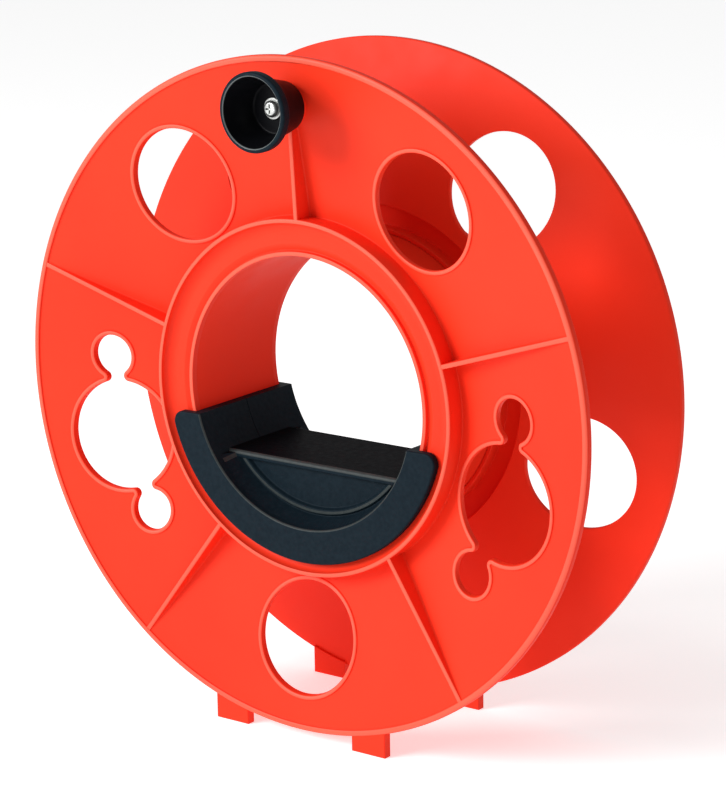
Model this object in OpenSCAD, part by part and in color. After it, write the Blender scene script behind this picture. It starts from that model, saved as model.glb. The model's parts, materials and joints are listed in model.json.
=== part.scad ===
// Extension cord reel: two moulded flanges on a hollow drum, a centre handle that
// turns inside the drum, and a winding knob near the rim of the front flange.
// Millimetres. The reel axis is along Y, the front flange faces -Y, and Z = 0 is
// the surface that the four feet stand on. The origin is under the middle of the
// bounding box.

/* [Reel] */
// Outside diameter of both flanges
flange_d = 360; // [350:1:380]
// Width over the rims of the two flanges
reel_w = 94; // [90:1:110]
// Inside diameter of the drum, which the hand goes through
bore_d = 150.4; // [150:0.1:151]
// Wall thickness of the drum
drum_wall = 3.8; // [3:0.1:4]

/* [Flanges] */
// Thickness of the flange web
web_t = 3; // [2.5:0.1:3.5]
// Depth of the web below the rim's front edge
rim_recess = 1.2; // [0.8:0.1:2]
// Width of the raised lip round the rim
rim_lip = 3.4; // [3:0.1:6]
// Fall of the web towards the hub, as a slope
web_slope = 0.2; // [0.19:0.005:0.205]
// Radius of the hub collar's crest, outside
collar_r = 95.2; // [95:0.1:97]
// Depth of the collar's crest below the rim's front edge
collar_drop = 6; // [5.5:0.1:7]
// Depth of the ledge inside the collar below the rim's front edge
ledge_drop = 11.3; // [11:0.1:12]
// Thickness of the five ribs
rib_t = 2.6; // [2:0.1:4]

/* [Openings] */
// Radius of the round holes
hole_r = 30.3; // [26:0.1:31]
// Distance of the round holes from the reel axis
hole_at = 131; // [130:0.5:134]
// Radius of the small lobes beside a cord hole
lobe_r = 11.3; // [9:0.1:11.6]
// Angle at the reel axis between a cord hole and its lobes
lobe_step = 19.5; // [19.3:0.1:20]
// Width of the necks between a cord hole and its lobes
neck_w = 10; // [6:0.1:10.5]
// Width of the raised bead round every hole of the front flange
bead_w = 2.4; // [1.5:0.1:3]

/* [Feet] */
// Width of a foot
foot_w = 21.4; // [16:0.1:26]
// Distance from the middle of the reel to the middle of a foot
foot_x = 45.5; // [40:0.5:55]
// Height of the reel axis above the feet's soles
axis_h = 184.5; // [184:0.5:192]

/* [Handle] */
// Radius of the inside of the handle's trough
trough_r = 70; // [68:0.1:71.5]
// Outside radius of the handle's end flanges
end_r = 88.6; // [86:0.1:89.3]
// Distance from the reel axis down to the grip's flat top
grip_drop = 37.5; // [36:0.5:42]
// Distance from the reel axis down to the top edge of the trough
trough_drop = 17; // [15:0.5:24]

/* [Knob] */
// Distance of the knob's axis from the reel axis
knob_at = 154.5; // [153:0.1:156]
// How far the knob stands out past the rim
knob_proud = 28; // [26:0.5:30]
// Outside radius of the knob's rolled rim
knob_r = 20.5; // [19:0.1:22]

/* [Hidden] */
$fn = 96;
eps = 0.01;
shell_red = "orangered";
grip_black = "darkslategray";
knob_black = "black";
steel = "silver";

// Reel: radii, and heights measured outwards from the drum's middle plane
flange_r = flange_d / 2;
half_w = reel_w / 2;
rim_in = flange_r - rim_lip;
bore_r = bore_d / 2;
drum_r = bore_r + drum_wall;
crest_h = half_w - collar_drop;
crest_t = 2.2;
crest_in = collar_r - crest_t;
ledge_h = half_w - ledge_drop;
ledge_t = 3;
bead_h = 1;
lip_w = 2.2;
lip_h = 0.8;
cove_r = 3.4;
socket_gap = 0.2;
socket_t = 2.3;
socket_depth = 7.5;
drum_half = ledge_h - ledge_t;
top_angle = 90;
rib_angles = [top_angle, 18, -54, -126, 162];
rib_crest_drop = 0.6;
rib_rim_rise = 0.8;
rib_bite = 1;
rib_from = collar_r - rib_bite;
rib_to = rim_in + rib_bite;
round_angles = [126, 54, -90];
cord_angles = [-16.6, -163.4];
neck_at = 8;
neck_len = 14;

// Snap catches between the sockets and the drum
catch_w = 12;
catch_h = 2;
catch_deep = 1.4;
catch_gap = 0.3;
catch_root = 1;
catch_at = ledge_h - ledge_t - 4.5;

// Feet
foot_back = 6;
foot_front = 0.5;
foot_root = 4.5;

// Handle
run_gap = 0.3;
trough_out = bore_r - run_gap;
end_back = ledge_h + lip_h + run_gap;
end_t = 4.1;
end_corner = 6;
grip_half = half_w - 19;
grip_t = 3.5;
grip_edge_r = 3.4;
panel_set = 3;
panel_h = grip_half - panel_set;
panel_t = 3;
boss_x = 28;
boss_drop = 55;
boss_r = 5;
pilot_r = 1.45;
pilot_deep = 14;
clear_r = 2.1;
head_r = 3.6;
head_h = 2.4;
head_gap = 0.3;
head_sink = 4;
slot_deep = 0.8;
slot_len = 4.4;
slot_w = 0.8;
screw_bite = 12;

// Knob and its fastening
knob_boss_r = 9;
knob_boss_h = half_w + 0.2;
knob_seat_r = 7.5;
knob_seat_h = web_h(knob_at - knob_seat_r) - web_t;
knob_gap = 0.4;
knob_base_h = knob_boss_h + knob_gap;
knob_top_h = half_w + knob_proud;
knob_floor_h = knob_base_h + 8.6;
knob_base_r = 12.9;
knob_neck_r = 17;
knob_neck_h = knob_top_h - 8.5;
knob_flare_h = knob_top_h - 4.5;
knob_round = 2.2;
knob_mouth_r = knob_r - 2.3;
knob_throat_r = knob_mouth_r - 1;
knob_throat_h = knob_top_h - 4;
knob_well_r = 13;
sleeve_r = 4;
sleeve_run = 0.06;
sleeve_top_h = knob_floor_h + 0.3;
screw_r = 2.5;
screw_gap = 0.1;
washer_r = 5.5;
washer_t = 1;
screw_head_r = 4.4;
screw_head_h = 2.6;
recess_deep = 1.4;
recess_len = 5;
recess_w = 1;
nut_af = 8;
nut_t = 4;
nut_washer_t = 1;
nut_washer_r = 5;
screw_tip = 2;

// The reel stands with its axis on Y; the box from the knob's mouth to the rear
// rim is centred on the origin
mid_y = knob_proud / 2;

// Puts a part drawn with its axis on Z, front upwards, onto the reel axis
module on_axis() {
    translate([0, mid_y, axis_h]) rotate([90, 0, 0]) children();
}

// Height of the web's outer face at radius r
function web_h(r) = half_w - rim_recess - web_slope * (rim_in - r);

// Height of a rib's crest, which falls from the collar to just above the web
function rib_h(r) = lookup(r, [[rib_from, crest_h - rib_crest_drop],
                               [rib_to, web_h(rim_in) + rib_rim_rise]]);

// Points of an arc about c, from angle a to angle b
function arc(c, r, a, b, n) =
    [for (i = [0 : n]) c + r * [cos(a + (b - a) * i / n), sin(a + (b - a) * i / n)]];

// Section of a flange: rim lip, sloping web, collar, ledge, bead and drum socket
flange_section = concat(
    [[flange_r, web_h(rim_in) - web_t], [flange_r, half_w], [rim_in, half_w],
     [rim_in, web_h(rim_in)], [collar_r, web_h(collar_r)], [collar_r, crest_h],
     [crest_in, crest_h]],
    arc([crest_in - cove_r, ledge_h + cove_r], cove_r, 0, -90, 6),
    [[bore_r + lip_w, ledge_h], [bore_r + lip_w, ledge_h + lip_h],
     [bore_r, ledge_h + lip_h], [bore_r, drum_half], [drum_r + socket_gap, drum_half],
     [drum_r + socket_gap, drum_half - socket_depth],
     [drum_r + socket_gap + socket_t, drum_half - socket_depth],
     [drum_r + socket_gap + socket_t, drum_half], [crest_in, drum_half],
     [crest_in, web_h(collar_r) - web_t]]);

// The web raised by the height of the beads, to cut the beads from
bead_section = [
    [collar_r + 1, web_h(collar_r + 1) - web_t / 2],
    [rim_in - 1, web_h(rim_in - 1) - web_t / 2],
    [rim_in - 1, web_h(rim_in - 1) + bead_h],
    [collar_r + 1, web_h(collar_r + 1) + bead_h]];

// A round hole at an angle round the flange, grown by extra
module round_hole(angle, extra = 0) {
    rotate([0, 0, angle]) translate([hole_at, 0, 0])
        cylinder(r = hole_r + extra, h = half_w + 1);
}

// A cord hole: a round hole with a small lobe each side, joined by narrow necks
module cord_hole(angle, extra = 0) {
    round_hole(angle, extra);
    for (side = [-1, 1]) {
        rotate([0, 0, angle + side * lobe_step]) translate([hole_at, 0, 0])
            cylinder(r = lobe_r + extra, h = half_w + 1);
        rotate([0, 0, angle + side * lobe_step / 2])
            translate([hole_at * cos(lobe_step / 2), side * neck_at, (half_w + 1) / 2])
            cube([neck_w + 2 * extra, neck_len, half_w + 1], center = true);
    }
}

// One gusset rib from the collar out to a given radius
module rib(angle, reach) {
    rotate([0, 0, angle]) rotate([90, 0, 0])
        linear_extrude(height = rib_t, center = true)
        polygon([[rib_from, web_h(rib_from) - rib_bite],
                 [rib_from, rib_h(rib_from)],
                 [reach, rib_h(reach)],
                 [reach, web_h(reach) - rib_bite]]);
}

// One foot, a tab that hangs from the rim
module foot(side) {
    translate([side * foot_x - foot_w / 2, -axis_h, half_w - foot_back])
        cube([foot_w, axis_h - flange_r + foot_root, foot_back - foot_front]);
}

// The drum socket's catches, which snap into the drum's windows
module catches(grow = 0) {
    for (angle = rib_angles) {
        rotate([0, 0, angle])
            translate([drum_r - catch_deep - grow, -catch_w / 2 - grow, catch_at - grow])
            cube([catch_deep + socket_gap + catch_root + grow, catch_w + 2 * grow,
                  catch_h + 2 * grow]);
    }
}

// What both flanges share; the top rib ends at a given radius
module flange_blank(top_reach) {
    rotate_extrude() polygon(flange_section);
    for (angle = rib_angles) rib(angle, angle == top_angle ? top_reach : rib_to);
    for (side = [-1, 1]) foot(side);
    catches();
}

module front_flange() {
    color(shell_red) on_axis() difference() {
        union() {
            flange_blank(knob_at);
            intersection() {
                rotate_extrude() polygon(bead_section);
                union() {
                    for (angle = round_angles) round_hole(angle, bead_w);
                    for (angle = cord_angles) cord_hole(angle, bead_w);
                }
            }
            translate([0, knob_at, web_h(knob_at) - web_t])
                cylinder(r = knob_boss_r, h = knob_boss_h - web_h(knob_at) + web_t);
            translate([0, knob_at, knob_seat_h]) cylinder(r = knob_seat_r, h = web_t);
        }
        for (angle = round_angles) round_hole(angle);
        for (angle = cord_angles) cord_hole(angle);
        translate([0, knob_at, 0]) cylinder(r = screw_r + screw_gap, h = knob_top_h);
    }
}

module rear_flange() {
    color(shell_red) on_axis() mirror([0, 0, 1]) difference() {
        flange_blank(rib_to);
        for (angle = concat(round_angles, cord_angles)) round_hole(angle);
    }
}

module drum() {
    color(shell_red) on_axis() difference() {
        cylinder(r = drum_r, h = 2 * drum_half, center = true);
        cylinder(r = bore_r, h = 2 * drum_half + 2, center = true);
        catches(catch_gap);
        mirror([0, 0, 1]) catches(catch_gap);
    }
}

// Everything below a line at a given drop under the reel axis
module below(drop) {
    translate([-flange_r, -flange_r - drop, -half_w])
        cube([flange_d, flange_r, reel_w]);
}

// The crescent end flange, with rounded upper corners
module end_crescent() {
    corner_x = sqrt(pow(end_r - end_corner, 2) - pow(trough_drop + end_corner, 2));
    translate([0, 0, end_back]) difference() {
        union() {
            intersection() {
                cylinder(r = end_r, h = end_t);
                below(trough_drop + end_corner);
            }
            intersection() {
                cylinder(r = end_r - end_corner, h = end_t);
                below(trough_drop);
            }
            for (side = [-1, 1]) {
                translate([side * corner_x, -trough_drop - end_corner, 0])
                    cylinder(r = end_corner, h = end_t);
            }
        }
        translate([0, 0, -1]) cylinder(r = trough_r, h = end_t + 2);
    }
}

// One half of the trough, from the middle plane to the face of its end crescent
module trough_half() {
    difference() {
        intersection() {
            cylinder(r = trough_out, h = end_back + eps);
            below(trough_drop);
        }
        translate([0, 0, -1]) cylinder(r = trough_r, h = half_w);
    }
    end_crescent();
}

// The D-shaped grip's flat top and end panel, inside the trough
module grip_half_shell() {
    intersection() {
        cylinder(r = trough_r + 1, h = grip_half + 1);
        union() {
            translate([-flange_r, -grip_drop - grip_t, 0])
                cube([flange_d, grip_t, grip_half - grip_edge_r]);
            translate([-flange_r, -grip_drop - grip_edge_r, 0]) intersection() {
                translate([0, 0, grip_half - grip_edge_r]) rotate([0, 90, 0])
                    cylinder(r = grip_edge_r, h = flange_d);
                cube([flange_d, grip_edge_r, grip_half]);
            }
            translate([-flange_r, -flange_r - grip_drop - 1, panel_h - panel_t])
                cube([flange_d, flange_r, panel_t]);
        }
    }
}

// Places a child at each of the two screw positions in the grip
module at_bosses() {
    for (side = [-1, 1]) {
        translate([side * boss_x, -boss_drop, 0]) children();
    }
}

module handle_front_half() {
    color(grip_black) on_axis() {
        difference() {
            union() {
                trough_half();
                grip_half_shell();
                at_bosses() cylinder(r = boss_r, h = panel_h - 1);
            }
            at_bosses() translate([0, 0, -1]) cylinder(r = pilot_r, h = pilot_deep + 1);
        }
    }
}

module handle_rear_half() {
    color(grip_black) on_axis() mirror([0, 0, 1]) {
        difference() {
            union() {
                trough_half();
                grip_half_shell();
                at_bosses() cylinder(r = boss_r, h = panel_h - 1);
            }
            at_bosses() translate([0, 0, -1]) cylinder(r = clear_r, h = half_w);
            at_bosses() translate([0, 0, panel_h - head_sink])
                cylinder(r = head_r + head_gap, h = half_w);
        }
    }
}

module handle_screws() {
    color(steel) on_axis() at_bosses() {
        translate([0, 0, -panel_h + head_sink]) {
            translate([0, 0, -head_h]) difference() {
                cylinder(r = head_r, h = head_h);
                translate([0, 0, -slot_deep]) cross_slot(2 * slot_deep, slot_len, slot_w);
            }
            cylinder(r = pilot_r, h = panel_h - head_sink + screw_bite);
        }
    }
}

// A cross recess of a given depth, arm length and arm width
module cross_slot(deep, long, wide) {
    for (turn = [0, 90]) {
        rotate([0, 0, turn]) translate([-long / 2, -wide / 2, 0])
            cube([long, wide, deep]);
    }
}

// Section of the knob: a cup with a rolled rim that narrows towards its base
knob_section = concat(
    [[sleeve_r + sleeve_run, knob_base_h], [knob_base_r, knob_base_h],
     [knob_neck_r, knob_neck_h], [knob_r, knob_flare_h]],
    arc([knob_r - knob_round, knob_top_h - knob_round], knob_round, 0, 90, 5),
    [[knob_mouth_r, knob_top_h], [knob_throat_r, knob_throat_h],
     [knob_well_r, knob_floor_h], [sleeve_r + sleeve_run, knob_floor_h]]);

// Puts a part drawn on its own axis onto the knob's axis
module at_knob() {
    on_axis() translate([0, knob_at, 0]) children();
}

module knob() {
    color(knob_black) at_knob() rotate_extrude() polygon(knob_section);
}

module knob_sleeve() {
    color(steel) at_knob() translate([0, 0, knob_boss_h]) difference() {
        cylinder(r = sleeve_r, h = sleeve_top_h - knob_boss_h);
        translate([0, 0, -1]) cylinder(r = screw_r + screw_gap, h = knob_proud + half_w);
    }
}

module knob_washer() {
    color(steel) at_knob() translate([0, 0, sleeve_top_h]) difference() {
        cylinder(r = washer_r, h = washer_t);
        translate([0, 0, -1]) cylinder(r = screw_r + screw_gap, h = washer_t + 2);
    }
}

module knob_screw() {
    color(steel) at_knob() {
        translate([0, 0, sleeve_top_h + washer_t]) difference() {
            cylinder(r = screw_head_r, h = screw_head_h);
            translate([0, 0, screw_head_h - recess_deep])
                cross_slot(2 * recess_deep, recess_len, recess_w);
        }
        translate([0, 0, knob_seat_h - nut_washer_t - nut_t - screw_tip])
            cylinder(r = screw_r, h = sleeve_top_h + washer_t - knob_seat_h
                     + nut_washer_t + nut_t + screw_tip);
    }
}

module knob_nut_washer() {
    color(steel) at_knob() translate([0, 0, knob_seat_h - nut_washer_t])
        difference() {
            cylinder(r = nut_washer_r, h = nut_washer_t);
            translate([0, 0, -1]) cylinder(r = screw_r + screw_gap, h = nut_washer_t + 2);
        }
}

module knob_nut() {
    color(steel) at_knob()
        translate([0, 0, knob_seat_h - nut_washer_t - nut_t]) difference() {
            cylinder(r = nut_af / sqrt(3), h = nut_t, $fn = 6);
            translate([0, 0, -1]) cylinder(r = screw_r, h = nut_t + 2);
        }
}

front_flange();
rear_flange();
drum();
handle_front_half();
handle_rear_half();
handle_screws();
knob();
knob_sleeve();
knob_washer();
knob_screw();
knob_nut();
knob_nut_washer();
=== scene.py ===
import json
import math

import bmesh
import bpy
import numpy as np
from mathutils import Matrix, Vector
from mathutils.geometry import delaunay_2d_cdt


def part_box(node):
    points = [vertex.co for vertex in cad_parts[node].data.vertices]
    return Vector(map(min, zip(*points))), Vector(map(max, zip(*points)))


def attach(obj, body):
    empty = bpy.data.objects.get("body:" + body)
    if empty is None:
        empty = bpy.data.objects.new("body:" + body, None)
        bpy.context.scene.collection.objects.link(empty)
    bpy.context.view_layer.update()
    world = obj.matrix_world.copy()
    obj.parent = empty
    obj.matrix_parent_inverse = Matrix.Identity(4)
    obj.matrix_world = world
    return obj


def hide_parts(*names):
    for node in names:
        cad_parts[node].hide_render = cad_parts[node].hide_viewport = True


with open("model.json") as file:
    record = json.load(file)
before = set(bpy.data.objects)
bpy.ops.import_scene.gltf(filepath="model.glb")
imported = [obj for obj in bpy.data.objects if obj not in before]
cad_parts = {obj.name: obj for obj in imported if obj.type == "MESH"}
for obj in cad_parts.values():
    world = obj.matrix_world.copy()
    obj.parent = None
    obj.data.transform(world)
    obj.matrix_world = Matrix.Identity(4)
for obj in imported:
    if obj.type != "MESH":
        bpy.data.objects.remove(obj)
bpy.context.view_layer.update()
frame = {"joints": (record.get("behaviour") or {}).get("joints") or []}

# ---------------------------------------------------------------- the frame
# Shapes are drawn in millimetres as (x, y, h): x to the right and y up from the
# reel axis, h outwards from the drum's middle plane towards the front flange.
JOINTS = {j["name"]: j["pos_m"] for j in frame["joints"]}
AXIS_Y = JOINTS["handle_turn"][1] * 1000
AXIS_Z = JOINTS["handle_turn"][2] * 1000
KNOB_AT = JOINTS["knob_spin"][2] * 1000 - AXIS_Z


def span(node):
    """A CAD node's box as (low, high), in millimetres of (x, y, h)."""
    lo, hi = (np.array(p) * 1000 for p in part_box(node))
    return (np.array([lo[0], lo[2] - AXIS_Z, AXIS_Y - hi[1]]),
            np.array([hi[0], hi[2] - AXIS_Z, AXIS_Y - lo[1]]))


FLANGE = span("front_flange")
DRUM = span("drum")
HANDLE = span("handle_front_half")
KNOB = span("knob")

# ---------------------------------------------------------------- sizes, mm
TURN = 360                      # steps round the reel
R = FLANGE[1][0]                # flange radius
DRUM_HALF = DRUM[1][2]
HALF_W = DRUM_HALF + 14.3       # rim's front edge
SOLE = FLANGE[0][1]
RIM_IN = R - 3.4
RIM_STEP = 1.2
SLOPE = 0.2
COLLAR = 95.2
CREST_H = HALF_W - 6
CREST_IN = COLLAR - 2.2
LEDGE_H = HALF_W - 11.3
COVE_R, COVE_H = 7.0, 4.4       # the hollow between the ledge and the collar
BORE = DRUM[1][0] - 3.8
DRUM_R = DRUM[1][0]
SOCKET_IN = DRUM_R + 0.2
SOCKET_OUT = SOCKET_IN + 2.3
SOCKET_H = DRUM_HALF - 7.5
WEB_T = 3.0
RIM_BACK = HALF_W - RIM_STEP - WEB_T
WEB_FROM, WEB_TO = COLLAR + 1.3, RIM_IN - 1.2
HOLE_R, HOLE_AT = 30.3, 131.0
LOBE_R, LOBE_STEP, TIP_R = 11.3, math.radians(19.5), 3.1
ROUND = [math.radians(a) for a in (126, 54, -90)]
CORD = [math.radians(a) for a in (-16.6, -163.4)]
RIBS = [math.radians(a) for a in (90, 18, -54, -126, 162)]
RIB_T = 2.6
GRIP_Y, GRIP_HALF, GRIP_EDGE = -37.5, HALF_W - 19, 3.4
TROUGH_Y, TROUGH_R, TROUGH_OUT = -17.0, 70.0, BORE - 0.3
END_R, END_BACK, END_FACE = 88.6, LEDGE_H + 1.1, HANDLE[1][2]
FOOT_X, FOOT_W = 45.5, 21.4
FOOT_BACK, FOOT_FRONT, FOOT_BITE = 6, 0.5, 2    # from the rim's edge, and into the rim
BOSS_R, SEAT_R, SEAT_T, SCREW_HOLE_R = 9.0, 7.5, 2.5, 2.6
SCREW_X, SCREW_Y, WELL = (-28.0, 28.0), -55.0, 21.0


def web(r):
    """Height of the web's outer face."""
    return HALF_W - RIM_STEP - SLOPE * (RIM_IN - r)


def web_back(r):
    """Height of the web's inner face."""
    low = web(COLLAR) - WEB_T
    return low + (RIM_BACK - low) * (r - CREST_IN) / (R - CREST_IN)


# ---------------------------------------------------------------- mesh tools
def fillet(points, closed=False, n=5):
    """A line of (x, y) or (x, y, radius) corners with its corners rounded."""
    out, count = [], len(points)
    for i, p in enumerate(points):
        here = np.array(p[:2], float)
        radius = p[2] if len(p) > 2 else 0
        if not radius or (not closed and i in (0, count - 1)):
            out.append(here)
            continue
        a = np.array(points[i - 1][:2], float) - here
        b = np.array(points[(i + 1) % count][:2], float) - here
        la, lb = np.linalg.norm(a), np.linalg.norm(b)
        a, b = a / la, b / lb
        half = math.acos(max(-1, min(1, float(a @ b)))) / 2
        cut = min(radius / math.tan(half), 0.49 * la, 0.49 * lb)
        radius = cut * math.tan(half)
        centre = here + (a + b) / np.linalg.norm(a + b) * radius / math.sin(half)
        p0, p1 = here + a * cut - centre, here + b * cut - centre
        whole = math.acos(max(-1, min(1, float(p0 @ p1) / radius ** 2)))
        for k in range(n + 1):
            t = k / n
            out.append(centre + (p0 * math.sin((1 - t) * whole)
                                 + p1 * math.sin(t * whole)) / math.sin(whole))
    return np.array(out)


class Shape:
    """Vertices and faces of one piece, in (x, y, h) millimetres."""

    def __init__(self):
        self.v, self.f = [], []

    def points(self, pts):
        first = len(self.v)
        self.v.extend(map(tuple, np.asarray(pts, float)))
        return first

    def face(self, *ids):
        self.f.append(ids)

    def rings(self, rings, wrap=True, close=False, cap=False):
        """Quads between rings of equal length. wrap joins each ring's ends,
        close joins the last ring to the first, cap fills the end rings."""
        count = len(rings[0])
        start = [self.points(r) for r in rings]
        pairs = list(zip(start, start[1:])) + ([(start[-1], start[0])] if close else [])
        for a, b in pairs:
            for i in range(count if wrap else count - 1):
                j = (i + 1) % count
                self.face(a + i, a + j, b + j, b + i)
        if cap:
            self.face(*range(start[0], start[0] + count))
            self.face(*range(start[-1], start[-1] + count))
        return start

    def lathe(self, profile, turn=TURN, close=True, at=(0, 0)):
        """Turns (radius, h) points round the axis at a place."""
        t = np.arange(turn) * 2 * math.pi / turn
        c, s = np.cos(t), np.sin(t)
        rings = [np.stack([at[0] + r * c, at[1] + r * s, np.full(turn, h)], 1)
                 for r, h in profile if r > 1e-6]
        first = self.rings(rings, close=close)
        if not close:
            for end, (r, h) in ((first[0], profile[0]), (first[-1], profile[-1])):
                if r <= 1e-6:
                    middle = self.points([(at[0], at[1], h)])
                    for i in range(turn):
                        self.face(end + i, end + (i + 1) % turn, middle)
        return first

    def prism(self, outline, h0, h1, edge, n=4):
        """A closed outline from h0 to h1, its edges rounded by insetting."""
        turns = np.linspace(0, math.pi / 2, n + 1) if edge else [math.pi / 2]
        steps = [(edge * (1 - math.sin(a)), edge * (1 - math.cos(a))) for a in turns]
        self.rings([inset(outline, e, h0 + d) for e, d in steps]
                   + [inset(outline, e, h1 - d) for e, d in steps[::-1]], cap=True)

    def mesh(self, flip=False):
        """A bmesh in metres in the row frame. flip puts it on the rear side."""
        side = -1 if flip else 1
        bm = bmesh.new()
        vs = [bm.verts.new((x / 1000, (AXIS_Y - side * h) / 1000, (AXIS_Z + y) / 1000))
              for x, y, h in self.v]
        for ids in self.f:
            if len(set(ids)) > 2:
                try:
                    bm.faces.new([vs[i] for i in ids])
                except ValueError:
                    pass
        bmesh.ops.remove_doubles(bm, verts=bm.verts, dist=2e-6)
        bmesh.ops.dissolve_degenerate(bm, edges=bm.edges, dist=1e-7)
        bmesh.ops.recalc_face_normals(bm, faces=bm.faces)
        return bm


def inset(outline, d, h):
    """An outline moved inwards by d, at height h. The outline runs anticlockwise."""
    p = np.asarray(outline, float)
    if d:
        before, after = np.roll(p, 1, 0), np.roll(p, -1, 0)
        e0, e1 = p - before, after - p
        n0 = np.stack([-e0[:, 1], e0[:, 0]], 1) / np.linalg.norm(e0, axis=1)[:, None]
        n1 = np.stack([-e1[:, 1], e1[:, 0]], 1) / np.linalg.norm(e1, axis=1)[:, None]
        m = n0 + n1
        m /= np.maximum((m * m).sum(1) / 2, 0.3)[:, None]
        p = p + m * d
    return np.column_stack([p, np.full(len(p), h)])


def make(name, shape, body, material, nodes, flip=False, sharp=32, trims=()):
    """One piece of the visual model, from a Shape or a bmesh. trims are pairs of a
    material and a test of a face's x, y, h and normal, for painted highlights on edges,
    painted shade and sheen on some faces, and the duller bore."""
    bm = shape.mesh(flip) if isinstance(shape, Shape) else shape
    side = -1 if flip else 1
    for f in bm.faces:
        c, n = f.calc_center_median(), f.normal
        at = (c.x * 1000, c.z * 1000 - AXIS_Z, side * (AXIS_Y - c.y * 1000))
        for k, (_, test) in enumerate(trims):
            if test(*at, Vector((n.x, n.z, -side * n.y))):
                f.material_index = k + 1
    mesh = bpy.data.meshes.new(name)
    bm.to_mesh(mesh)
    bm.free()
    mesh.polygons.foreach_set("use_smooth", [True] * len(mesh.polygons))
    mesh.set_sharp_from_angle(angle=math.radians(sharp))
    obj = bpy.data.objects.new(name, mesh)
    bpy.context.scene.collection.objects.link(obj)
    mesh.materials.append(material)
    for trim, _ in trims:
        mesh.materials.append(trim)
    weighted = obj.modifiers.new("weighted_normals", "WEIGHTED_NORMAL")
    weighted.keep_sharp = True
    weighted.weight = 60
    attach(obj, body)
    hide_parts(*nodes)
    return obj


def combine(base, tool, how):
    """The boolean of two bmeshes, as a bmesh."""
    objs = []
    for bm in (base, tool):
        mesh = bpy.data.meshes.new("tmp")
        bm.to_mesh(mesh)
        bm.free()
        obj = bpy.data.objects.new("tmp", mesh)
        bpy.context.scene.collection.objects.link(obj)
        objs.append(obj)
    cut = objs[0].modifiers.new("cut", "BOOLEAN")
    cut.operation, cut.object, cut.solver = how, objs[1], "MANIFOLD"
    bpy.context.view_layer.update()
    graph = bpy.context.evaluated_depsgraph_get()
    out = bmesh.new()
    out.from_object(objs[0], graph)
    for obj in objs:
        mesh = obj.data
        bpy.data.objects.remove(obj)
        bpy.data.meshes.remove(mesh)
    assert len(out.faces) > 3, "a boolean came out empty"
    return out


# ---------------------------------------------------------------- materials
def material(name, base, rough, build=None, **inputs):
    mat = bpy.data.materials.new(name)
    mat.use_nodes = True
    shader = mat.node_tree.nodes["Principled BSDF"]
    shader.inputs["Base Color"].default_value = (*base, 1)
    shader.inputs["Roughness"].default_value = rough
    for key, value in inputs.items():
        shader.inputs[key.replace("_", " ")].default_value = value
    if build:
        build(mat.node_tree, shader)
    return mat


def noise(tree, scale, detail=2.0, rough=0.5):
    coords = tree.nodes.new("ShaderNodeTexCoord")
    node = tree.nodes.new("ShaderNodeTexNoise")
    node.inputs["Scale"].default_value = scale
    node.inputs["Detail"].default_value = detail
    node.inputs["Roughness"].default_value = rough
    tree.links.new(coords.outputs["Object"], node.inputs["Vector"])
    return node.outputs["Fac"]


def ramp(tree, factor, low, high, start=0.3, end=0.7):
    node = tree.nodes.new("ShaderNodeValToRGB")
    node.color_ramp.elements[0].position = start
    node.color_ramp.elements[0].color = (*low, 1)
    node.color_ramp.elements[1].position = end
    node.color_ramp.elements[1].color = (*high, 1)
    tree.links.new(factor, node.inputs["Fac"])
    return node.outputs["Color"]


def spread(tree, factor, low, high):
    node = tree.nodes.new("ShaderNodeMapRange")
    node.inputs["From Min"].default_value = 0.3
    node.inputs["From Max"].default_value = 0.7
    node.inputs["To Min"].default_value = low
    node.inputs["To Max"].default_value = high
    tree.links.new(factor, node.inputs["Value"])
    return node.outputs["Result"]


def bump(tree, shader, height, distance, strength=1.0, under=None):
    node = tree.nodes.new("ShaderNodeBump")
    node.inputs["Distance"].default_value = distance
    node.inputs["Strength"].default_value = strength
    tree.links.new(height, node.inputs["Height"])
    if under:
        tree.links.new(under.outputs["Normal"], node.inputs["Normal"])
    tree.links.new(node.outputs["Normal"], shader.inputs["Normal"])
    return node


def moulded_red(tree, shader, low=(0.84, 0.032, 0.012), high=(0.87, 0.040, 0.014)):
    broad = noise(tree, 9.0, 3.0)
    tree.links.new(ramp(tree, broad, low, high), shader.inputs["Base Color"])
    tree.links.new(spread(tree, noise(tree, 60.0, 4.0), 0.38, 0.48),
                   shader.inputs["Roughness"])
    fine = bump(tree, shader, noise(tree, 1500.0, 3.0), 0.00004, 0.35)
    bump(tree, shader, noise(tree, 25.0, 2.0), 0.0004, 0.10, fine)


# Lighter red for the flanges' rounded edges and beads: a painted highlight.
def red_highlight(tree, shader):
    moulded_red(tree, shader, (0.86, 0.088, 0.050), (0.88, 0.104, 0.058))


def grained_slate(tree, shader, low=(0.0050, 0.0110, 0.0165), high=(0.0078, 0.0155, 0.022)):
    broad = noise(tree, 420.0, 3.0)
    tree.links.new(ramp(tree, broad, low, high), shader.inputs["Base Color"])
    tree.links.new(spread(tree, noise(tree, 300.0, 4.0), 0.40, 0.50),
                   shader.inputs["Roughness"])
    bump(tree, shader, noise(tree, 1300.0, 4.0, 0.6), 0.00012, 0.55)


# Lighter slate for the handle's rounded edges: a painted highlight.
def slate_highlight(tree, shader):
    grained_slate(tree, shader, (0.024, 0.032, 0.033), (0.033, 0.042, 0.042))


# Darker slate for the grip's up-facing top: painted shade.
def slate_shade(tree, shader):
    grained_slate(tree, shader, (0.0022, 0.0028, 0.0040), (0.0036, 0.0044, 0.0058))


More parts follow.
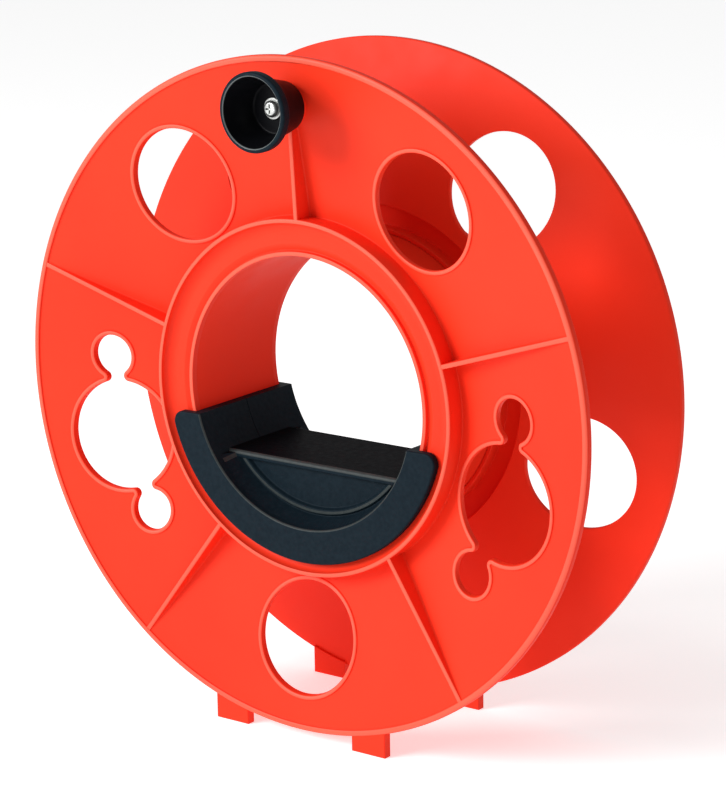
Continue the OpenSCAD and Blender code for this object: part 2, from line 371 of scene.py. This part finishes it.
def satin_black(tree, shader, low=(0.0030, 0.0032, 0.0042), high=(0.005, 0.0052, 0.0066)):
    broad = noise(tree, 50.0, 3.0)
    tree.links.new(ramp(tree, broad, low, high), shader.inputs["Base Color"])
    tree.links.new(spread(tree, noise(tree, 200.0, 4.0), 0.28, 0.38),
                   shader.inputs["Roughness"])
    bump(tree, shader, noise(tree, 1200.0, 3.0), 0.00004, 0.3)


# Light grey for the knob's mouth edge: a painted highlight.
def black_highlight(tree, shader):
    satin_black(tree, shader, (0.09, 0.105, 0.105), (0.13, 0.145, 0.145))


def plated_steel(tree, shader):
    tree.links.new(ramp(tree, noise(tree, 400.0, 5.0), (0.42, 0.43, 0.42),
                        (0.58, 0.59, 0.57)), shader.inputs["Base Color"])
    tree.links.new(spread(tree, noise(tree, 900.0, 4.0), 0.28, 0.44),
                   shader.inputs["Roughness"])


RED = material("moulded_red", (0.86, 0.036, 0.013), 0.42, moulded_red,
               Specular_IOR_Level=0.09)
# The lighter red below is a painted highlight on rounded edges.
RED_HIGHLIGHT = material("red_highlight", (0.87, 0.096, 0.054), 0.42, red_highlight,
                    Specular_IOR_Level=0.2)
RED_BORE = material("red_bore", (0.86, 0.036, 0.013), 0.5, moulded_red,
                    Specular_IOR_Level=0.03)
SLATE = material("grained_slate", (0.013, 0.023, 0.03), 0.55, grained_slate,
                 Specular_IOR_Level=0.04)
SLATE_HIGHLIGHT = material("slate_highlight", (0.028, 0.037, 0.038), 0.5, slate_highlight,
                      Specular_IOR_Level=0.15)
SLATE_SHADE = material("slate_shade", (0.005, 0.006, 0.008), 0.6, slate_shade,
                      Specular_IOR_Level=0.01)
BLACK = material("satin_black", (0.005, 0.005, 0.0065), 0.33, satin_black,
                 Specular_IOR_Level=0.06)
BLACK_HIGHLIGHT = material("black_highlight", (0.15, 0.17, 0.17), 0.35, black_highlight,
                      Specular_IOR_Level=0.3)
STEEL = material("plated_steel", (0.6, 0.6, 0.6), 0.3, plated_steel, Metallic=1.0)


# ---------------------------------------------------------------- flange holes
def arc(centre, radius, a0, a1, n):
    t = np.linspace(a0, a1, n, endpoint=False)
    return np.stack([centre[0] + radius * np.cos(t), centre[1] + radius * np.sin(t)], 1)


def polar(r, a):
    return np.array([r * math.cos(a), r * math.sin(a)])


def hole_outline(angle, lobed, d):
    """A hole's outline moved out by d into the web, always in the same steps. A
    cord hole is a round hole with a lobe each side, blended by rounded tips."""
    centre = polar(HOLE_AT, angle)
    if not lobed:
        return arc(centre, HOLE_R + d, angle, angle + 2 * math.pi, 144)
    out, sides = [], []
    for side in (1, -1):
        lobe = polar(HOLE_AT, angle + side * LOBE_STEP)
        gap = lobe - centre
        far = np.linalg.norm(gap)
        along = gap / far
        across = np.array([-along[1], along[0]])
        a, b = HOLE_R + TIP_R, LOBE_R + TIP_R
        x = (a * a - b * b + far * far) / (2 * far)
        y = math.sqrt(a * a - x * x)
        tips = [centre + along * x + across * s * y for s in (-1, 1)]
        sides.append((lobe, tips))
    ang = lambda v: math.atan2(v[1], v[0])

    def turn(a0, a1, way):
        while way > 0 and a1 < a0:
            a1 += 2 * math.pi
        while way < 0 and a1 > a0:
            a1 -= 2 * math.pi
        return a0, a1

    for k, (lobe, (tip_in, tip_out)) in enumerate(sides):
        a0, a1 = turn(ang(sides[1 - k][1][1] - centre), ang(tip_in - centre), 1)
        out.append(arc(centre, HOLE_R + d, a0, a1, 60))
        a0, a1 = turn(ang(centre - tip_in), ang(lobe - tip_in), -1)
        out.append(arc(tip_in, TIP_R - d, a0, a1, 14))
        a0, a1 = turn(ang(tip_in - lobe), ang(tip_out - lobe), 1)
        out.append(arc(lobe, LOBE_R + d, a0, a1, 56))
        a0, a1 = turn(ang(lobe - tip_out), ang(centre - tip_out), -1)
        out.append(arc(tip_out, TIP_R - d, a0, a1, 14))
    return np.concatenate(out)


def inside(points, outline):
    """Which points are inside a closed outline."""
    x, y = points[:, 0][:, None], points[:, 1][:, None]
    a, b = outline, np.roll(outline, -1, 0)
    cross = ((a[:, 1] > y) != (b[:, 1] > y)) & (
        x < (b[:, 0] - a[:, 0]) * (y - a[:, 1]) / (b[:, 1] - a[:, 1] + 1e-12) + a[:, 0])
    return cross.sum(1) % 2 == 1


def web_sheet(shape, height, outlines, room):
    """One face of the web between its two rings, open at the outlines."""
    t = np.arange(TURN) * 2 * math.pi / TURN
    rings = [np.stack([r * np.cos(t), r * np.sin(t)], 1) for r in (WEB_FROM, WEB_TO)]
    fixed = rings + outlines
    pts, edges = [], []
    for line in fixed:
        first = len(pts)
        pts.extend(line)
        edges += [(first + i, first + (i + 1) % len(line)) for i in range(len(line))]
    far = np.concatenate(outlines)
    for r in np.arange(WEB_FROM + 4, WEB_TO - 2, 5.5):
        t = np.arange(200) * 2 * math.pi / 200
        grid = np.stack([r * np.cos(t), r * np.sin(t)], 1)
        gap = np.sqrt(((grid[:, None] - far[None]) ** 2).sum(2)).min(1)
        keep = gap > room
        for line in outlines:
            keep &= ~inside(grid, line)
        pts.extend(grid[keep])
    verts, _, faces, *_ = delaunay_2d_cdt([Vector(p) for p in pts], edges, [], 0, 1e-5)
    flat = np.array(verts)
    tri = np.array(faces)
    mid = flat[tri].mean(1)
    r = np.hypot(*mid.T)
    keep = (r > WEB_FROM) & (r < WEB_TO)
    for line in outlines:
        keep &= ~inside(mid, line)
    radius = np.hypot(*flat.T)
    first = shape.points(np.column_stack([flat, height(radius)]))
    for ids in tri[keep]:
        shape.face(*(first + int(i) for i in ids))


def on_face(outline, height, rise=0.0):
    radius = np.hypot(*outline.T)
    return np.column_stack([outline, height(radius) + rise])


def rib(shape, angle, reach):
    """A gusset rib from the collar to a radius, with rounded edges and a small
    foot. Its crest falls towards the rim."""
    along, across = polar(1, angle), polar(1, angle + math.pi / 2)
    r0, r1 = COLLAR - 1.0, RIM_IN + 0.6
    top0, top1 = CREST_H - 0.25, web(RIM_IN) + 0.8
    rings = []
    for r in np.linspace(r0, reach, 40):
        base = web(r)
        tall = max(top0 + (top1 - top0) * (r - r0) / (r1 - r0) - base, 0.3)
        foot, edge = min(0.9, tall * 0.5), min(0.6, tall * 0.4)
        half = RIB_T / 2
        section = fillet([(half + foot, -1.2), (half + foot, -0.15),
                          (half, foot * 0.4, foot), (half - 0.1, tall, edge),
                          (-half + 0.1, tall, edge), (-half, foot * 0.4, foot),
                          (-half - foot, -0.15), (-half - foot, -1.2)], n=4)
        rings.append([(*(along * r + across * u), base + v) for u, v in section])
    shape.rings(rings, cap=True)


def block(shape, x0, x1, y0, y1, h0, h1, edge):
    outline = fillet([(x0, y0, edge), (x1, y0, edge), (x1, y1, edge), (x0, y1, edge)],
                     closed=True, n=4)
    shape.prism(outline, h0, h1, edge)


def flange(knob_side):
    """A flange: rim, web with holes, ribs, collar, ledge, bead lip and socket."""
    s = Shape()
    rim = fillet([(WEB_TO, web(WEB_TO)), (RIM_IN, web(RIM_IN), 0.5),
                  (RIM_IN + 0.2, HALF_W, 0.7), (R, HALF_W, 1.5), (R, RIM_BACK, 0.9),
                  (WEB_TO, web_back(WEB_TO))])
    s.lathe(rim, close=False)
    cove = [(CREST_IN - COVE_R * (1 - math.sin(a)), LEDGE_H + COVE_H * (1 - math.cos(a)))
            for a in np.linspace(0, math.pi / 2, 12)]
    hub = fillet([(WEB_FROM, web_back(WEB_FROM)), (CREST_IN, web_back(CREST_IN), 0.6),
                  (CREST_IN, DRUM_HALF, 1), (SOCKET_OUT, DRUM_HALF, 0.6),
                  (SOCKET_OUT, SOCKET_H, 0.6), (SOCKET_IN, SOCKET_H, 0.3),
                  (SOCKET_IN, DRUM_HALF, 0.1), (BORE, DRUM_HALF, 0.15),
                  (BORE, LEDGE_H + 0.8, 0.5), (BORE + 2.2, LEDGE_H + 0.8, 0.5),
                  (BORE + 2.5, LEDGE_H - 1.4, 0.5), (BORE + 3.3, LEDGE_H - 1.4, 0.5),
                  (BORE + 6.2, LEDGE_H, 2.0), *cove, (CREST_IN, CREST_H, 0.8),
                  (COLLAR, CREST_H, 0.8), (COLLAR, web(COLLAR), 1.0),
                  (WEB_FROM, web(WEB_FROM))], n=7)
    s.lathe(hub, close=False)
    front, back = [], []
    holes = [(a, False) for a in ROUND] + [(a, knob_side) for a in CORD]
    for angle, lobed in holes:
        lines = []
        if knob_side:
            bead = [(2.95, 0), (2.45, 0.02), (2.35, 0.42), (2.1, 0.74), (1.7, 0.94),
                    (1.2, 1.0), (0.7, 0.93), (0.3, 0.72), (0.07, 0.4), (0, 0)]
        else:
            bead = [(1.6, 0), (0.6, 0), (0.3, -0.09), (0.09, -0.3), (0, -0.6)]
        for d, rise in bead:
            lines.append(on_face(hole_outline(angle, lobed, d), web, rise))
        for d, rise in [(0, 0.7), (0.1, 0.32), (0.35, 0.08), (0.8, 0), (1.8, 0)]:
            lines.append(on_face(hole_outline(angle, lobed, d), web_back, rise))
        s.rings(lines)
        front.append(hole_outline(angle, lobed, bead[0][0]))
        back.append(hole_outline(angle, lobed, 1.8))
    web_sheet(s, web, front, 2.0)
    web_sheet(s, web_back, back, 2.0)
    for angle in RIBS:
        rib(s, angle, KNOB_AT if knob_side and angle == RIBS[0] else RIM_IN + 0.6)
    for side in (-1, 1):
        xs = side * FOOT_X + np.linspace(FOOT_W / 2, -FOOT_W / 2, 16)
        top = [(x, -math.sqrt((R - FOOT_BITE) ** 2 - x * x)) for x in xs]
        s.prism([(xs[-1], SOLE), (xs[0], SOLE)] + top,
                HALF_W - FOOT_BACK, HALF_W - FOOT_FRONT, 0.5)
    return s


front = flange(True)
boss_h = web(KNOB_AT) - 1.5
front.lathe(fillet([(SCREW_HOLE_R, boss_h), (BOSS_R, boss_h),
                    (BOSS_R, HALF_W + 0.2, 0.4), (SCREW_HOLE_R, HALF_W + 0.2)]),
            turn=96, at=(0, KNOB_AT))
seat_h = web(KNOB_AT - SEAT_R) - WEB_T
front.lathe(fillet([(SCREW_HOLE_R, seat_h), (SEAT_R, seat_h, 0.4),
                    (SEAT_R, seat_h + SEAT_T), (SCREW_HOLE_R, seat_h + SEAT_T)]),
            turn=64, at=(0, KNOB_AT))


def shell_highlight(x, y, h, n):
    """The rim, crest, lip, ribs and beads of a flange, on faces turned to the front, where
    the red is painted lighter as a highlight.
    """
    r = math.hypot(x, y)
    if n[2] < 0.45:
        return False
    if r > RIM_IN - 0.2:
        return h > HALF_W - 0.8 and r < R - 0.4
    if r > COLLAR + 0.6:
        return h > web(r) + 0.66
    if r > CREST_IN - 0.5:
        return h > CREST_H - 0.7
    return r < BORE + 2.4 and h > LEDGE_H + 0.3


# The flanges' rounded edges get the lighter red as a painted highlight.
make("reel_front_flange", front, "reel", RED, ["front_flange"],
     trims=[(RED_HIGHLIGHT, shell_highlight)])
make("reel_rear_flange", flange(False), "reel", RED, ["rear_flange"], flip=True,
     trims=[(RED_HIGHLIGHT, shell_highlight)])

drum = Shape()
drum.lathe(fillet([(BORE, -DRUM_HALF, 0.15), (DRUM_R, -DRUM_HALF, 0.3),
                   (DRUM_R, DRUM_HALF, 0.3), (BORE, DRUM_HALF, 0.15)], closed=True, n=3))
make("reel_drum", drum, "reel", RED, ["drum"],
     trims=[(RED_BORE, lambda x, y, h, n: math.hypot(x, y) < BORE + 0.2)])


# ---------------------------------------------------------------- handle
def end_outline(n=160):
    """The crescent's outline without its inner arc: the end line at the top with
    rounded corners, and the outer arc."""
    corner = 6.0
    cy = TROUGH_Y - corner
    cx = math.sqrt((END_R - corner) ** 2 - cy * cy)
    a = math.atan2(cy, cx)
    parts = [arc((cx, cy), corner, math.pi / 2, a, 12),
             arc((0, 0), END_R, a, -math.pi - a, n),
             arc((-cx, cy), corner, math.pi - a, math.pi / 2, 12)]
    return np.concatenate(parts + [[(-cx, TROUGH_Y)]])[::-1]


def handle_half(rear):
    h = Shape()
    face = END_FACE
    h.lathe(fillet([(TROUGH_R, 0, 0.6), (TROUGH_OUT, 0, 0.4), (TROUGH_OUT, END_BACK, 0.3),
                    (END_R + 3, END_BACK), (END_R + 3, face + 3), (TROUGH_R + 6, face + 3),
                    (TROUGH_R + 6, face), (TROUGH_R - 0.3, face, 1.4)], closed=True),
            turn=TURN)
    outline = Shape()
    outline.prism(end_outline(), -1, face, 1.1)
    body = combine(h.mesh(rear), outline.mesh(rear), "INTERSECT")

    inner = Shape()
    top, floor_h = GRIP_HALF, GRIP_HALF - 3
    inner.lathe(fillet([(0, floor_h), (61.4, floor_h, 0.8), (62.3, top - 0.6, 0.9),
                        (64.6, top - 0.6, 0.9), (65.6, top - 2.2, 3.5),
                        (TROUGH_R + 0.6, face - 3.2), (TROUGH_R + 2, face - 3.2),
                        (TROUGH_R + 2, floor_h - 3), (0, floor_h - 3)], n=6),
                turn=TURN, close=False)
    below = Shape()
    block(below, -80, 80, -90, GRIP_Y - 1.5, -5, 60, 0)
    panel = combine(inner.mesh(rear), below.mesh(rear), "INTERSECT")

    deck = Shape()
    section = fillet([(GRIP_Y - 3.5, 0), (GRIP_Y, 0), (GRIP_Y, top, GRIP_EDGE),
                      (GRIP_Y - 4.2, top, 1.2), (GRIP_Y - 4.2, floor_h - 1),
                      (GRIP_Y - 3.5, floor_h - 1)], n=8)
    reach = math.sqrt((TROUGH_R + 1.5) ** 2 - GRIP_Y ** 2)
    deck.rings([[(x, y, z) for y, z in section] for x in (-reach, reach)], cap=True)
    out = combine(body, panel, "UNION")
    out = combine(out, deck.mesh(rear), "UNION")
    if rear:
        for x in SCREW_X:
            well = Shape()
            well.lathe([(0, WELL), (3.9, WELL), (3.9, top + 4), (0, top + 4)], turn=48,
                       close=False, at=(x, SCREW_Y))
            out = combine(out, well.mesh(rear), "DIFFERENCE")
    return out


def grip_highlight(x, y, h, n):
    """The rounded edges of the handle, painted lighter as a highlight."""
    r = math.hypot(x, y)
    if abs(r - TROUGH_R) < 0.9 and h > END_FACE - 1.3 and 0.3 < n[2] < 0.97:
        return True
    if 62.9 < r < 64.4 and n[2] > 0.5 and h > GRIP_HALF - 1.4 and y < GRIP_Y - 3:
        return True
    if r > TROUGH_R - 1:
        return False
    return y > GRIP_Y - 4.0 and abs(h - GRIP_HALF) < 3.8 and n[1] > 0.08 and n[2] > 0.08


def grip_top_shade(x, y, h, n):
    """The up-facing top of the grip, and the ends of the groove beside it, painted darker
    as shade.
    """
    return n[1] > 0.98 and GRIP_Y - 2 < y < GRIP_Y + 0.2


# The grip's up-facing top gets the darker slate as painted shade.
# The handle's rounded edges get the lighter slate as a painted highlight.
for name, node, rear in (("handle_front_shell", "handle_front_half", False),
                         ("handle_rear_shell", "handle_rear_half", True)):
    make(name, handle_half(rear), "handle", SLATE, [node], flip=rear,
         trims=[(SLATE_HIGHLIGHT, grip_highlight), (SLATE_SHADE, grip_top_shade)])


# ---------------------------------------------------------------- knob
KNOB_H0, KNOB_H1, KNOB_R = KNOB[0][2], KNOB[1][2], KNOB[1][0]
WELL_H = KNOB_H0 + 8.6
MOUTH = KNOB_R - 2.3
knob = Shape()
knob.lathe(fillet([(4.06, KNOB_H0, 0.2), (12.9, KNOB_H0, 0.8), (17.0, KNOB_H1 - 8.5, 3),
                   (KNOB_R - 0.1, KNOB_H1 - 5.2, 1.6), (KNOB_R, KNOB_H1 - 0.2, 2.2),
                   (MOUTH, KNOB_H1, 0.7), (MOUTH - 0.8, KNOB_H1 - 3.5, 2),
                   (13.2, WELL_H, 1.2), (4.06, WELL_H, 0.2)], closed=True, n=8),
           turn=144, at=(0, KNOB_AT))
# The knob's outer lip is painted in the handle's slate as a painted sheen.
make("knob_cup", knob, "knob", BLACK, ["knob"],
     trims=[(SLATE, lambda x, y, h, n: h > KNOB_H1 - 5.6
             and math.hypot(x, y - KNOB_AT) > MOUTH - 0.2),
            # the mouth's rounded edge in light grey is a painted highlight
            (BLACK_HIGHLIGHT, lambda x, y, h, n: h > KNOB_H1 - 0.6 and 0.3 < n[2] < 0.97
             and abs(math.hypot(x, y - KNOB_AT) - MOUTH) < 0.6)])


def ring(name, node, inner, edge):
    lo, hi = span(node)
    s = Shape()
    out = (hi[0] - lo[0]) / 2
    s.lathe(fillet([(inner, lo[2], edge), (out, lo[2], edge), (out, hi[2], edge),
                    (inner, hi[2], edge)], closed=True, n=3), turn=72, at=(0, KNOB_AT))
    make(name, s, "reel", STEEL, [node])


ring("knob_sleeve_tube", "knob_sleeve", SCREW_HOLE_R, 0.15)
ring("knob_washer_disc", "knob_washer", SCREW_HOLE_R, 0.2)
ring("knob_back_washer", "knob_nut_washer", SCREW_HOLE_R, 0.2)


def cross_screw(at, tip, neck, head, shank_r, head_r, recess, arm, wide, flip):
    """A pan-head screw with a cross recess; heights run from tip to head."""
    s = Shape()
    s.lathe(fillet([(0, tip), (shank_r - 0.4, tip), (shank_r, tip + 0.5), (shank_r, neck),
                    (head_r - 0.1, neck, 0.3), (head_r, neck + 0.5 * (head - neck), 1.2),
                    (head_r * 0.72, head, 1.2), (0, head)], n=6),
            turn=72, close=False, at=at)
    base = s.mesh(flip)
    for long, thin in ((arm, wide), (wide, arm)):
        slot_ = Shape()
        block(slot_, at[0] - long / 2, at[0] + long / 2, at[1] - thin / 2,
              at[1] + thin / 2, head - recess, head + 2, 0)
        base = combine(base, slot_.mesh(flip), "DIFFERENCE")
    return base


SCREW = span("knob_screw")
washer_top = span("knob_washer")[1][2]
make("knob_cross_screw", cross_screw((0, KNOB_AT), SCREW[0][2], washer_top, SCREW[1][2],
                                     2.5, 4.4, 1.4, 5.0, 1.0, False),
     "reel", STEEL, ["knob_screw"])

low, high = span("handle_screws")
for k, x in enumerate(SCREW_X):
    make(f"handle_screw_{k + 1}", cross_screw((x, SCREW_Y), -high[2], WELL, -low[2],
                                              1.45, 3.6, 1.2, 4.4, 0.8, True),
         "handle", STEEL, ["handle_screws"])

NUT = span("knob_nut")
nut = Shape()
hexagon = [tuple(polar(8 / math.sqrt(3), k * math.pi / 3) + (0, KNOB_AT)) for k in range(6)]
nut.prism(hexagon, NUT[0][2], NUT[1][2], 0)
chamfer = Shape()
chamfer.lathe([(0, NUT[0][2]), (4.1, NUT[0][2]), (5.0, NUT[0][2] + 0.6),
               (5.0, NUT[1][2] - 0.6), (4.1, NUT[1][2]), (0, NUT[1][2])], turn=72,
              close=False, at=(0, KNOB_AT))
drill = Shape()
drill.lathe([(0, NUT[0][2] - 1), (2.5, NUT[0][2] - 1), (2.5, NUT[1][2] + 1),
             (0, NUT[1][2] + 1)], turn=48, close=False, at=(0, KNOB_AT))
body = combine(nut.mesh(), chamfer.mesh(), "INTERSECT")
make("knob_hex_nut", combine(body, drill.mesh(), "DIFFERENCE"), "reel",
     STEEL, ["knob_nut"])

# ---------------------------------------------------------------- stage
WORLD_LEFT, WORLD_RIGHT = 0.52, 0.36     # the soft light's strength from each side
floor_mesh = bpy.data.meshes.new("floor")
disc = bmesh.new()
bmesh.ops.create_circle(disc, cap_ends=True, segments=64, radius=12)
disc.to_mesh(floor_mesh)
disc.free()
floor = bpy.data.objects.new("floor", floor_mesh)
bpy.context.scene.collection.objects.link(floor)
pale = material("pale_floor", (0.93, 0.93, 0.93), 0.9)
glow = pale.node_tree.nodes["Principled BSDF"]
glow.inputs["Emission Color"].default_value = (1, 1, 1, 1)
glow.inputs["Emission Strength"].default_value = 0.5
floor.data.materials.append(pale)

world = bpy.data.worlds.new("studio")
world.use_nodes = True
bpy.context.scene.world = world
tree = world.node_tree
sky = tree.nodes["Background"]
paper = tree.nodes.new("ShaderNodeBackground")
seen = tree.nodes.new("ShaderNodeLightPath")
mix = tree.nodes.new("ShaderNodeMixShader")
place = tree.nodes.new("ShaderNodeTexCoord")
split = tree.nodes.new("ShaderNodeSeparateXYZ")
side = tree.nodes.new("ShaderNodeMapRange")
for key, value in (("From Min", -1), ("From Max", 0.8), ("To Min", WORLD_LEFT),
                   ("To Max", WORLD_RIGHT)):
    side.inputs[key].default_value = value
tree.links.new(place.outputs["Generated"], split.inputs[0])
tree.links.new(split.outputs["X"], side.inputs["Value"])
tree.links.new(side.outputs["Result"], sky.inputs["Strength"])
sky.inputs["Color"].default_value = (1, 1, 1, 1)
paper.inputs["Color"].default_value = (1, 1, 1, 1)
tree.links.new(seen.outputs["Is Camera Ray"], mix.inputs[0])
tree.links.new(sky.outputs[0], mix.inputs[1])
tree.links.new(paper.outputs[0], mix.inputs[2])
tree.links.new(mix.outputs[0], tree.nodes["World Output"].inputs["Surface"])


def softbox(name, azimuth, elevation, distance, size, power):
    """A square light that faces the reel, placed as a camera view would be."""
    light = bpy.data.lights.new(name, "AREA")
    light.shape, light.size, light.energy = "SQUARE", size, power
    obj = bpy.data.objects.new(name, light)
    bpy.context.scene.collection.objects.link(obj)
    a, e = math.radians(azimuth), math.radians(elevation)
    back = Vector((math.sin(a) * math.cos(e), -math.cos(a) * math.cos(e), math.sin(e)))
    obj.location = Vector((0, 0, AXIS_Z / 1000)) + back * distance
    obj.rotation_mode = "QUATERNION"
    obj.rotation_quaternion = (-back).to_track_quat("-Z", "Y")
    return obj


softbox("key", -32, 24, 2.4, 1.2, 58)

# ---------------------------------------------------------------- camera
FRAME_H = 800                   # the picture's long side, in pixels
FOCAL_PX = 2850
VIEW_AZ, VIEW_EL, VIEW_D, ROLL = map(float, (36.45, 14.2, 1508, -0.85))
TARGET = Vector((11.3, AXIS_Y, AXIS_Z - 7.0)) / 1000
camera = bpy.data.objects.new("camera", bpy.data.cameras.new("camera"))
bpy.context.scene.collection.objects.link(camera)
camera.data.sensor_width = 36
camera.data.lens = FOCAL_PX * 36 / FRAME_H
az, el, roll = (math.radians(a) for a in (VIEW_AZ, VIEW_EL, ROLL))
back = Vector((math.sin(az) * math.cos(el), -math.cos(az) * math.cos(el), math.sin(el)))
right = (-back).cross(Vector((0, 0, 1))).normalized()
up = right.cross(-back)
x_axis = math.cos(roll) * right + math.sin(roll) * up
y_axis = -math.sin(roll) * right + math.cos(roll) * up
camera.matrix_world = Matrix.Translation(TARGET + back * VIEW_D / 1000) @ Matrix(
    (x_axis, y_axis, back)).transposed().to_4x4()
camera.data.clip_start, camera.data.clip_end = 0.05, 60
bpy.context.scene.camera = camera
bpy.context.scene.view_settings.view_transform = "Standard"
